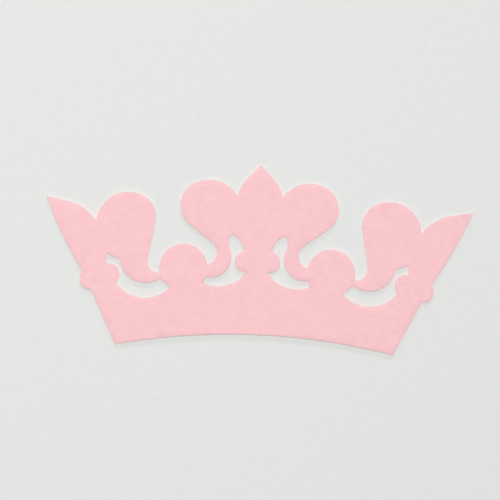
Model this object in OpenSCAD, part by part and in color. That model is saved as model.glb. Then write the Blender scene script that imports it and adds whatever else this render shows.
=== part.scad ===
// Paper crown, die-cut in one piece from coloured card.
// Three pointed fleurons and two round pearls stand on a band that is arched along its lower edge.
// The crown lies flat: x runs across it, y towards the middle point, z up from the table.
// Heights are taken from the line through the two lower corners, positions from the centre line.
// All lengths are in millimetres and all angles in degrees.

/* [Card] */
// thickness of the card
card_t = 0.3; // [0.2:0.05:0.6]

/* [Overall] */
// width between the two outer tips
crown_w = 76; // [72:0.5:80]
// height of the middle point
peak_h = 32.85; // [32.6:0.05:34]
// height of the outer tips
tip_h = 25.85; // [25.4:0.05:26.5]

/* [Band] */
// width between the two lower corners
base_w = 49.5; // [46:0.5:53]
// rise of the lower edge at the centre line
base_rise = 2.7; // [1.5:0.1:4]
// bend of the side edge, behind the side collar, from the centre line
waist_x = 30.6; // [30:0.1:31.2]
// height of that bend
waist_h = 12; // [11.4:0.1:12.6]

/* [Middle petal] */
// radius of the petal's two edges, which run straight into the point
petal_r = 6.9; // [6.6:0.1:7.1]
// greatest width of the petal
petal_w = 8.4; // [8:0.1:8.8]
// height of the greatest width
petal_h = 25.7; // [25.4:0.1:25.9]

/* [Side petals] */
// radius of the upper edge, which runs straight into the tip
side_petal_r = 8.05; // [7.7:0.05:8.4]
// centre of that edge from the centre line
side_petal_x = 35.6; // [35.2:0.1:36]
// height of that centre
side_petal_h = 17.2; // [16.9:0.05:17.5]
// outward bow of the outer edge between bend and tip
side_petal_bow = 0.4; // [0.2:0.05:0.7]

/* [Middle lobes] */
// diameter of a lobe
lobe_d = 8.7; // [8.3:0.1:9.2]
// centre of the lobe from the centre line
lobe_x = 9.75; // [9.4:0.05:10.1]
// height of that centre
lobe_h = 25.35; // [25:0.05:25.7]
// radius of the flatter shoulder towards the petal
shoulder_r = 5.95; // [5.6:0.05:6.3]
// how far outwards from the lobe's top the shoulder starts, in degrees
shoulder_lean = 28; // [20:1:36]

/* [Side lobes] */
// diameter of a lobe
side_lobe_d = 8.45; // [8:0.05:8.9]
// centre of the lobe from the centre line
side_lobe_x = 22.6; // [22.3:0.05:22.9]
// height of that centre
side_lobe_h = 22.8; // [22.4:0.1:23.2]
// radius of the flatter shoulder towards the side petal
side_shoulder_r = 5.7; // [5.4:0.1:6]
// how far inwards from the lobe's top the shoulder starts, in degrees
side_shoulder_lean = 26; // [18:1:32]

/* [Pearls] */
// diameter of a pearl
pearl_d = 8.6; // [8.2:0.1:9]
// centre of a pearl from the centre line
pearl_x = 13.15; // [12.8:0.05:13.5]
// height of that centre
pearl_h = 14; // [13.7:0.05:14.3]

/* [Collars] */
// length of the middle collar
collar_w = 8.05; // [7.7:0.05:8.3]
// thickness of the middle collar, its ends are half round
collar_d = 3.6; // [3.4:0.1:3.9]
// height of the middle collar
collar_h = 15.6; // [15.3:0.1:15.9]
// length of a side collar
side_collar_w = 7.2; // [6.9:0.1:7.6]
// thickness of a side collar, its ends are half round
side_collar_d = 3.6; // [3.3:0.1:3.9]
// centre of a side collar from the centre line
side_collar_x = 28.05; // [27.7:0.05:28.4]
// height of that centre
side_collar_h = 11.95; // [11.65:0.05:12.25]
// slope of a side collar, down towards the outside
side_collar_lean = 18; // [14:1:22]

/* [Valleys over the pearls] */
// radius of the round bottom in the crook of the inner swag
valley_r = 2.25; // [2:0.05:2.45]
// centre of that round, outwards from the swag's centre
valley_out = 1.1; // [0.85:0.05:1.35]
// and upwards from it
valley_up = 0.75; // [0.45:0.05:1.05]
// radius of the round bottom in the crook of the outer swag
side_valley_r = 2.2; // [1.95:0.05:2.4]
// centre of that round, inwards from the swag's centre
side_valley_in = 2.5; // [2.25:0.05:2.75]
// and downwards from it
side_valley_down = 0.65; // [0.4:0.05:0.9]

/* [Inner cut-outs] */
// radius of the scalloped lower edge
scallop_r = 6.15; // [5.9:0.05:6.4]
// centre of the scallop from the centre line
scallop_x = 7; // [6.8:0.05:7.2]
// height of that centre
scallop_h = 17.1; // [16.8:0.1:17.4]
// radius of the swag above it
swag_r = 3.7; // [3.45:0.05:3.9]
// centre of the swag from the centre line
swag_x = 8.4; // [8.25:0.05:8.6]
// height of that centre
swag_h = 16.25; // [16:0.05:16.5]
// centre of the arch's outer edge from the centre line
arch_x = 2.75; // [2.55:0.05:2.95]
// height of that centre
arch_h = 18.9; // [18.7:0.05:19.1]
// radius of the arch's inner edge
arch_in_r = 3.1; // [2.9:0.05:3.3]
// height of the centre of that edge
arch_in_h = 17.55; // [17.35:0.05:17.75]
// width of the petal's foot between the two arches
foot_w = 5.3; // [5:0.05:5.6]
// radius of the round top of the arch
arch_top_r = 0.5; // [0.3:0.05:0.7]

/* [Outer cut-outs] */
// radius of the scalloped lower edge
side_scallop_r = 6.3; // [6.1:0.05:6.5]
// centre of the scallop from the centre line
side_scallop_x = 20; // [19.8:0.05:20.2]
// height of that centre
side_scallop_h = 14.7; // [14.4:0.1:15]
// radius of the swag above it
side_swag_r = 4.65; // [4.4:0.05:4.85]
// centre of the swag from the centre line
side_swag_x = 19.95; // [19.7:0.05:20.2]
// height of that centre
side_swag_h = 15.8; // [15.6:0.1:16.1]
// inner end of the crescent, below the swag, from the centre line
crescent_x = 17.2; // [16.9:0.05:17.5]
// slope of that straight end
crescent_lean = 39; // [33:1:45]
// end of the slot over the side collar from the centre line
slot_x = 26.9; // [26.6:0.05:27.2]
// height of the slot's upper end corner
slot_h = 16.1; // [15.9:0.1:16.4]
// slope of the slot's upper edge
slot_lean = 22; // [18:1:26]

/* [Hidden] */
// straight pieces in a full circle
$fn = 180;
// colour of the card
card_colour = [0.97, 0.78, 0.80];
// share of a disc's radius at which a line or a second disc touches it, so that the two cross cleanly
snug_share = 0.998;
// share of its length by which an edge runs on past the corner where another edge cuts it off
overrun_share = 0.1;
// points on the right side
peak = [0, peak_h];
tip = [crown_w / 2, tip_h];
corner = [base_w / 2, 0];
waist = [waist_x, waist_h];
// side edge run on below the corner, where the arched lower edge cuts it off
hem = corner + overrun_share * (corner - waist);
// circle of the arched lower edge
base_r = (corner.x * corner.x + base_rise * base_rise) / (2 * base_rise);
// circle of the middle petal's right edge, and the end of the straight run to the point
petal_mid = [petal_w / 2 - petal_r, petal_h];
petal_touch = touch(petal_mid, -petal_r, between(peak, 0, petal_mid, petal_r, -1));
// circle of the side petal's upper edge, and the straight run that passes through the tip
side_petal_mid = [side_petal_x, side_petal_h];
side_petal_touch = touch(side_petal_mid, -side_petal_r, between(tip, 0, side_petal_mid, side_petal_r, 1));
side_petal_end = tip + overrun_share * (tip - side_petal_touch);
// circle of the side petal's outer edge
edge_run = tip - waist;
edge_r = (edge_run * edge_run / 4 + side_petal_bow * side_petal_bow) / (2 * side_petal_bow);
edge_mid = (tip + waist) / 2 + (edge_r - side_petal_bow) * [-edge_run.y, edge_run.x] / norm(edge_run);
// lobes, and the circles of the shoulders that leave them smoothly
lobe_mid = [lobe_x, lobe_h];
shoulder_top = touch(lobe_mid, lobe_d / 2, 90 - shoulder_lean);
shoulder_mid = shoulder_top - shoulder_r * way(90 - shoulder_lean);
side_lobe_mid = [side_lobe_x, side_lobe_h];
side_shoulder_top = touch(side_lobe_mid, side_lobe_d / 2, 90 + side_shoulder_lean);
side_shoulder_mid = side_shoulder_top - side_shoulder_r * way(90 + side_shoulder_lean);
// round ends of the collars
collar_reach = (collar_w - collar_d) / 2;
side_collar_reach = (side_collar_w - side_collar_d) / 2;
side_collar_mid = [side_collar_x, side_collar_h];
side_collar_in = side_collar_mid - side_collar_reach * way(-side_collar_lean);
side_collar_out = side_collar_mid + side_collar_reach * way(-side_collar_lean);
// swags, and the valleys in the crooks behind them, whose edges run straight up to a lobe
swag_mid = [swag_x, swag_h];
side_swag_mid = [side_swag_x, side_swag_h];
valley_mid = swag_mid + [valley_out, valley_up];
valley_turn = between(valley_mid, valley_r, lobe_mid, lobe_d / 2, 1);
side_valley_mid = side_swag_mid - [side_valley_in, side_valley_down];
side_valley_turn = between(side_valley_mid, side_valley_r, side_lobe_mid, side_lobe_d / 2, -1);
// the arch's outer edge meets the swag smoothly, where their circles touch
arch_mid = [arch_x, arch_h];
arch_r = norm(arch_mid - swag_mid) - snug_share * swag_r;
arch_foot = swag_mid + swag_r * (arch_mid - swag_mid) / norm(arch_mid - swag_mid);
arch_in_mid = [foot_w / 2 + arch_in_r, arch_in_h];
// round top of the arch, where it touches both edges
arch_top_in = snug_share * arch_top_r;
arch_top_mid = meet(arch_mid, arch_r - arch_top_in, arch_in_mid, arch_in_r - arch_top_in);
// straight end of the outer crescent, run on past its corners into the scallop and the swag
crescent_top = [crescent_x, side_swag_h - sqrt(pow(side_swag_r, 2) - pow(side_swag_x - crescent_x, 2))];
crescent_foot = crescent_top - side_scallop_r * way(crescent_lean);
crescent_head = crescent_top + side_swag_r / 2 * way(crescent_lean);
// corner where the slot leaves the outer cut-out, inside the swag's circle
slot_end = [slot_x, slot_h];
slot_start = slot_end - (slot_x - side_swag_x - side_swag_r / 2) / cos(slot_lean) * way(slot_lean);
slot_foot = [slot_x, side_collar_in.y];

// unit step in a direction
function way(a) = [cos(a), sin(a)];

// point where a line or a second disc touches a disc
function touch(c, r, a) = c + snug_share * r * way(a);

// direction from one disc's centre to the line that passes between it and a second disc, touching both
function between(c1, r1, c2, r2, side) =
    atan2(c2.y - c1.y, c2.x - c1.x) + side * acos(min(1, snug_share * (r1 + r2) / norm(c2 - c1)));

// upper point where two circles cross
function meet(c1, r1, c2, r2) =
    let (run = c2 - c1, along = (run * run + r1 * r1 - r2 * r2) / (2 * run * run))
    c1 + along * run + sqrt(r1 * r1 / (run * run) - along * along) * [-run.y, run.x];

// the same shape on both sides of the centre line
module both_sides() {
    children();
    mirror([1, 0]) children();
}

// shape with round ends about two points
module oval(a, b, d) {
    translate(a) circle(d = d);
    translate(b) circle(d = d);
    translate((a + b) / 2)
        rotate(atan2(b.y - a.y, b.x - a.x))
            square([norm(b - a), snug_share * d], center = true);
}

// pointed petal on the centre line
module middle_petal() {
    intersection() {
        translate(petal_mid) circle(r = petal_r);
        translate([-petal_mid.x, petal_mid.y]) circle(r = petal_r);
    }
    polygon([peak, [-petal_touch.x, petal_touch.y], petal_touch]);
}

// outer petal, pointed at the tip and almost straight along its outer edge
module side_petal() {
    intersection() {
        union() {
            translate(side_petal_mid) circle(r = side_petal_r);
            polygon([side_petal_end, side_petal_touch, waist, [side_petal_end.x, waist.y]]);
        }
        translate(edge_mid) circle(r = edge_r);
    }
}

// round lobe beside the middle petal, flatter on the petal's side
module lobe() {
    translate(lobe_mid) circle(d = lobe_d);
    translate(shoulder_mid) rotate(-shoulder_lean) intersection() {
        circle(r = shoulder_r);
        translate([-shoulder_r, -shoulder_r]) square([shoulder_r, 2 * shoulder_r]);
    }
}

// round lobe beside the side petal, flatter on the petal's side
module side_lobe() {
    translate(side_lobe_mid) circle(d = side_lobe_d);
    translate(side_shoulder_mid) rotate(side_shoulder_lean) intersection() {
        circle(r = side_shoulder_r);
        translate([0, -side_shoulder_r]) square([side_shoulder_r, 2 * side_shoulder_r]);
    }
}

// open valley over a pearl, between a middle lobe and a side lobe
module valley() {
    translate(valley_mid) circle(r = valley_r);
    translate(side_valley_mid) circle(r = side_valley_r);
    polygon([
        valley_mid,
        touch(valley_mid, valley_r, valley_turn),
        touch(lobe_mid, -lobe_d / 2, valley_turn),
        [lobe_x, peak_h],
        [side_lobe_x, peak_h],
        touch(side_lobe_mid, -side_lobe_d / 2, side_valley_turn),
        touch(side_valley_mid, side_valley_r, side_valley_turn),
        side_valley_mid
    ]);
}

// round pearl between the fleurons
module pearl() {
    translate([pearl_x, pearl_h]) circle(d = pearl_d);
}

// band and stems before the cut-outs, with the arched lower edge
module blank() {
    difference() {
        polygon([
            hem, waist, [waist_x, side_petal_h], side_lobe_mid, lobe_mid,
            [-lobe_x, lobe_h], [-side_lobe_x, side_lobe_h],
            [-waist_x, side_petal_h], [-waist_x, waist_h], [-hem.x, hem.y]
        ]);
        translate([0, base_rise - base_r]) circle(r = base_r);
        both_sides() valley();
    }
}

// lower part of a scallop, up to a level
module scallop(mid, r, level) {
    intersection() {
        translate(mid) circle(r = r);
        translate([mid.x - r, level - 2 * r]) square(2 * r);
    }
}

// crescent under the swag, rising past the collar into an arch beside the petal's foot
module inner_cutout() {
    difference() {
        union() {
            scallop([scallop_x, scallop_h], scallop_r, collar_h);
            scallop(arch_in_mid, arch_in_r, arch_foot.y);
            intersection() {
                translate(arch_mid) circle(r = arch_r);
                translate(arch_in_mid) circle(r = arch_in_r);
            }
        }
        translate(swag_mid) circle(r = swag_r);
        pearl();
        difference() {
            polygon([arch_top_mid, 2 * arch_top_mid - arch_mid, 2 * arch_top_mid - arch_in_mid]);
            translate(arch_top_mid) circle(r = arch_top_r);
        }
    }
}

// crescent under the side swag, with a slot over the side collar
module outer_cutout() {
    difference() {
        union() {
            scallop([side_scallop_x, side_scallop_h], side_scallop_r, side_collar_in.y + side_collar_d / 2);
            polygon([slot_end, slot_start, side_collar_in, slot_foot]);
        }
        translate(side_swag_mid) circle(r = side_swag_r);
        polygon([crescent_foot, crescent_head, [crescent_foot.x, side_swag_h]]);
    }
}

// flat outline with its four cut-outs; the collars stand out into them
module outline() {
    difference() {
        union() {
            blank();
            middle_petal();
            both_sides() {
                lobe();
                side_lobe();
                side_petal();
                pearl();
            }
        }
        both_sides() {
            inner_cutout();
            outer_cutout();
        }
    }
    oval([-collar_reach, collar_h], [collar_reach, collar_h], collar_d);
    both_sides() oval(side_collar_in, side_collar_out, side_collar_d);
}

// the card, centred on its length and height and resting on the table
module paper_crown() {
    color(card_colour)
        translate([0, -peak_h / 2, 0])
            linear_extrude(height = card_t)
                outline();
}

paper_crown();
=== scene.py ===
import math

import bmesh
import bpy
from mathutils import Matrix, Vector


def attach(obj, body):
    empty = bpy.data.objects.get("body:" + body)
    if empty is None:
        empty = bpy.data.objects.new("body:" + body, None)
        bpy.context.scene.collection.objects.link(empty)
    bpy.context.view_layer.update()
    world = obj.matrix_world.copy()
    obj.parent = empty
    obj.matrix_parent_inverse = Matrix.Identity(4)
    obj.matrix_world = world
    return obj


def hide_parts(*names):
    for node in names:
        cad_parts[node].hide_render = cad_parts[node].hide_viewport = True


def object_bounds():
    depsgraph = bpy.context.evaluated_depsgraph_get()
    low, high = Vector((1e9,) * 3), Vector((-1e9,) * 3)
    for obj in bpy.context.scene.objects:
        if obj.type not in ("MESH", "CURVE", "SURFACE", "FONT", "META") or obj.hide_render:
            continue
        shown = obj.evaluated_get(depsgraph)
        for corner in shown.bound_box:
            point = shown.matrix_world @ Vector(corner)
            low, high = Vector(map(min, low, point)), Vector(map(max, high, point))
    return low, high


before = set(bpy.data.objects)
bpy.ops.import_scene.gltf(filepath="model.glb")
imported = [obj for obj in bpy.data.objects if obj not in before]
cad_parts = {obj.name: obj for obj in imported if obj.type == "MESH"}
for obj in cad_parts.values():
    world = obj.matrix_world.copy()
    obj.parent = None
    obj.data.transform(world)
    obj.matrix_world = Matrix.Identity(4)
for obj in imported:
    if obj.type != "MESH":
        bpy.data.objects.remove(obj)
cad_low, cad_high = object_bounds()


# Crown
# One flat sheet of pink card, dyed right through and cut to its outline in a single stroke of a die.
# The die rolls the upper rim over a little, and the cut sheet springs, so that it rests on the table
# at a few places and stands a hair off it elsewhere.

MM = 0.001
rim_round = 0.03 * MM
# steps of the rolled rim, as shares of its round: inwards, upwards
rim_step_shares = ((0.293, 0.707), (0.707, 0.293))
# points closer together than this are one point
weld = 0.001 * MM
# height of a face's unit normal: over the first the face is level, under the second it is the cut wall
level_from = 0.99
wall_up_to = 0.3

card = bmesh.new()
card.from_mesh(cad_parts["paper_crown"].data)
bmesh.ops.remove_doubles(card, verts=card.verts, dist=weld)

# the upper face alone, lowered by the round, then brought back up to its height in two steps
not_upper = [f for f in card.faces if f.normal.z < level_from]
bmesh.ops.delete(card, geom=not_upper, context="FACES")
bmesh.ops.translate(card, verts=card.verts, vec=(0, 0, -rim_round))
upper = card.faces[:]
for inwards, upwards in rim_step_shares:
    bmesh.ops.inset_region(card, faces=upper, use_boundary=True, use_even_offset=True,
                           thickness=inwards * rim_round, depth=upwards * rim_round)

# a net of cuts both ways through the sheet, so that it can spring
net_pitch = 1.5 * MM
cut_slack = 0.0001 * MM
for axis in (0, 1):
    across = Vector((axis == 0, axis == 1, 0))
    first_cut = math.ceil(cad_low[axis] / net_pitch)
    last_cut = math.floor(cad_high[axis] / net_pitch)
    for cut in range(first_cut, last_cut + 1):
        whole_sheet = card.verts[:] + card.edges[:] + card.faces[:]
        bmesh.ops.bisect_plane(card, geom=whole_sheet, dist=cut_slack,
                               plane_co=across * cut * net_pitch, plane_no=across)

# how far off a cut an edge may lie and still belong to it, as a share of the pitch
net_slack_share = 0.001


def on_the_net(edge):
    """Does an edge lie along one of the cuts?"""
    for axis in (0, 1):
        start, end = (v.co[axis] / net_pitch for v in edge.verts)
        if abs(start - end) < net_slack_share and abs(start - round(start)) < net_slack_share:
            return True
    return False


# the level triangles between the cuts, joined up again
card.normal_update()
between_cuts = [
    e for e in card.edges
    if len(e.link_faces) == 2 and min(f.normal.z for f in e.link_faces) > level_from and not on_the_net(e)
]
bmesh.ops.dissolve_edges(card, edges=between_cuts, use_verts=True)
bmesh.ops.remove_doubles(card, verts=card.verts, dist=weld)

# the thickness: the same sheet again, flat on the table, with the cut wall between the two
under = bmesh.ops.extrude_face_region(card, geom=card.faces[:], use_keep_orig=True)["geom"]
under_points = [v for v in under if isinstance(v, bmesh.types.BMVert)]
bmesh.ops.scale(card, verts=under_points, vec=(1, 1, 0))
bmesh.ops.recalc_face_normals(card, faces=card.faces)

# the spring of the sheet: a low hump across the left half, which dies out down the band, and a lower
# edge that lifts between the two corners it rests on
hump_lift = 0.03 * MM
hump_at = -13 * MM
hump_reach = 24 * MM
band_lift = 0.14 * MM
corner_at = 24.75 * MM
for v in card.verts:
    from_hump = (v.co.x - hump_at) / hump_reach
    down_band = max(0.0, v.co.y / cad_low.y)
    off_corners = max(0.0, 1 - (v.co.x / corner_at) ** 2)
    v.co.z += hump_lift * math.exp(-from_hump * from_hump) * (1 - down_band)
    v.co.z += band_lift * down_band * down_band * off_corners

# smooth shading, but for sharp turns such as those into the cut wall, which has a material of its own
sharp_turn = math.radians(25)
for e in card.edges:
    e.smooth = e.calc_face_angle(0) < sharp_turn
for f in card.faces:
    f.smooth = True
    f.material_index = 1 if abs(f.normal.z) < wall_up_to else 0

crown_mesh = bpy.data.meshes.new("crown_card")
card.to_mesh(crown_mesh)
card.free()
crown = bpy.data.objects.new("crown_card", crown_mesh)
bpy.context.scene.collection.objects.link(crown)

# grain of uncoated stock: clouds in the pulp, and fibres that rolling has drawn out, counted in a metre
pulp_clouds = 700
pulp_detail = 6
pulp_roughness = 0.7
fibre_counts = (900, 4200, 2500)
fibre_detail = 4
fibre_turn = math.radians(20)
# where in the range of the grain its colour is at its deepest and at its palest
deep_at = 0.3
pale_at = 0.7
dull_gloss = 0.25
tooth_height = 0.02 * MM


def fibre_board(name, deep, pale, roughness, tooth):
    """Uncoated stock: pulp clouds and short fibres in the colour, and the tooth of its surface."""
    material = bpy.data.materials.new(name)
    material.use_nodes = True
    nodes = material.node_tree.nodes
    links = material.node_tree.links
    shader = nodes["Principled BSDF"]
    shader.inputs["Roughness"].default_value = roughness
    shader.inputs["Specular IOR Level"].default_value = dull_gloss
    place = nodes.new("ShaderNodeTexCoord")

    # pulp, clouded where it lies thicker
    pulp = nodes.new("ShaderNodeTexNoise")
    pulp.inputs["Scale"].default_value = pulp_clouds
    pulp.inputs["Detail"].default_value = pulp_detail
    pulp.inputs["Roughness"].default_value = pulp_roughness
    links.new(place.outputs["Object"], pulp.inputs["Vector"])

    # fibres, drawn out along the way the stock was rolled
    grain = nodes.new("ShaderNodeMapping")
    grain.inputs["Rotation"].default_value = (0, 0, fibre_turn)
    grain.inputs["Scale"].default_value = fibre_counts
    links.new(place.outputs["Object"], grain.inputs["Vector"])
    fibre = nodes.new("ShaderNodeTexNoise")
    fibre.inputs["Scale"].default_value = 1
    fibre.inputs["Detail"].default_value = fibre_detail
    links.new(grain.outputs["Vector"], fibre.inputs["Vector"])

    # the mean of the two
    both = nodes.new("ShaderNodeMath")
    both.operation = "ADD"
    links.new(pulp.outputs["Fac"], both.inputs[0])
    links.new(fibre.outputs["Fac"], both.inputs[1])
    mean = nodes.new("ShaderNodeMath")
    mean.operation = "MULTIPLY"
    mean.inputs[1].default_value = 0.5
    links.new(both.outputs["Value"], mean.inputs[0])

    # its colour
    tint = nodes.new("ShaderNodeValToRGB")
    deep_stop, pale_stop = tint.color_ramp.elements
    deep_stop.position = deep_at
    deep_stop.color = (*deep, 1)
    pale_stop.position = pale_at
    pale_stop.color = (*pale, 1)
    links.new(mean.outputs["Value"], tint.inputs["Fac"])
    links.new(tint.outputs["Color"], shader.inputs["Base Color"])

    # its tooth
    bump = nodes.new("ShaderNodeBump")
    bump.inputs["Strength"].default_value = tooth
    bump.inputs["Distance"].default_value = tooth_height
    links.new(mean.outputs["Value"], bump.inputs["Height"])
    links.new(bump.outputs["Normal"], shader.inputs["Normal"])
    return material


card_face = fibre_board("pink_card", deep=(0.905, 0.53, 0.555), pale=(0.99, 0.615, 0.64),
                        roughness=0.82, tooth=0.35)
card_cut = fibre_board("pink_card_cut", deep=(0.88, 0.53, 0.555), pale=(0.96, 0.63, 0.655),
                       roughness=0.9, tooth=0.6)
crown_mesh.materials.append(card_face)
crown_mesh.materials.append(card_cut)
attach(crown, "root")
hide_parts("paper_crown")


# Table
# The surface that the crown lies on: a large sheet of off-white paper, which is no part of the crown.
# It lies a touch below the card, so that the two faces never share a place.

table_half = 2.0
table_gap = 0.01 * MM
sheet = bmesh.new()
bmesh.ops.create_grid(sheet, x_segments=1, y_segments=1, size=table_half)
bmesh.ops.translate(sheet, verts=sheet.verts, vec=(0, 0, -table_gap))
table_mesh = bpy.data.meshes.new("table")
sheet.to_mesh(table_mesh)
sheet.free()
table = bpy.data.objects.new("table", table_mesh)
bpy.context.scene.collection.objects.link(table)
table_paper = fibre_board("off_white_paper", deep=(0.75, 0.762, 0.742), pale=(0.805, 0.817, 0.797),
                          roughness=0.9, tooth=0.2)
table_mesh.materials.append(table_paper)


# Light
# A strip softbox over the crown, turned to its left, a low window far beyond its top, and the pale
# room around them. Together they light a level surface so that a colour shows as it is written.

# each lamp has a place, turns about x, y and z in degrees, a width, a length and a power in watts
for name, place, turns, width, length, power in (
    ("softbox", (0.0, 0.10, 0.78), (3, 24, 0), 0.12, 0.8, 5.33),
    ("window", (0.0, 1.43, 0.47), (-71.8, 0, 0), 1.5, 0.28, 7.95),
):
    light = bpy.data.lights.new(name, "AREA")
    light.shape = "RECTANGLE"
    light.size = width
    light.size_y = length
    light.energy = power
    lamp = bpy.data.objects.new(name, light)
    lamp.location = place
    lamp.rotation_euler = [math.radians(turn) for turn in turns]
    bpy.context.scene.collection.objects.link(lamp)

# the room gives less light than its brightness in the picture, in a gloss and through what is clear
room_light = 0.22
room_look = 0.8
room = bpy.data.worlds.new("room")
room.use_nodes = True
bpy.context.scene.world = room
air = room.node_tree.nodes["Background"]
air.inputs["Color"].default_value = (1, 1, 1, 1)
ray = room.node_tree.nodes.new("ShaderNodeLightPath")
looked_at = ray.outputs["Is Camera Ray"]
for way in ("Is Glossy Ray", "Is Transmission Ray"):
    either = room.node_tree.nodes.new("ShaderNodeMath")
    either.operation = "MAXIMUM"
    room.node_tree.links.new(looked_at, either.inputs[0])
    room.node_tree.links.new(ray.outputs[way], either.inputs[1])
    looked_at = either.outputs["Value"]
brightness = room.node_tree.nodes.new("ShaderNodeMapRange")
brightness.inputs["To Min"].default_value = room_light
brightness.inputs["To Max"].default_value = room_look
room.node_tree.links.new(looked_at, brightness.inputs["Value"])
room.node_tree.links.new(brightness.outputs["Result"], air.inputs["Strength"])


# Camera
# It looks straight down on the crown through a long lens, from about 60 cm above it. It is turned a
# little about its line of sight, so that the crown lies a little askew in the picture.

camera_place = (-1.425 * MM, 1.262 * MM, 618.487 * MM)
camera_turn = math.radians(2.2833)
lens = bpy.data.cameras.new("camera")
lens.lens = 250
lens.sensor_width = 36
lens.clip_start = 0.01
lens.clip_end = 10
camera = bpy.data.objects.new("camera", lens)
camera.location = camera_place
camera.rotation_euler = (0, 0, camera_turn)
bpy.context.scene.collection.objects.link(camera)
bpy.context.scene.camera = camera
bpy.context.scene.view_settings.view_transform = "Standard"
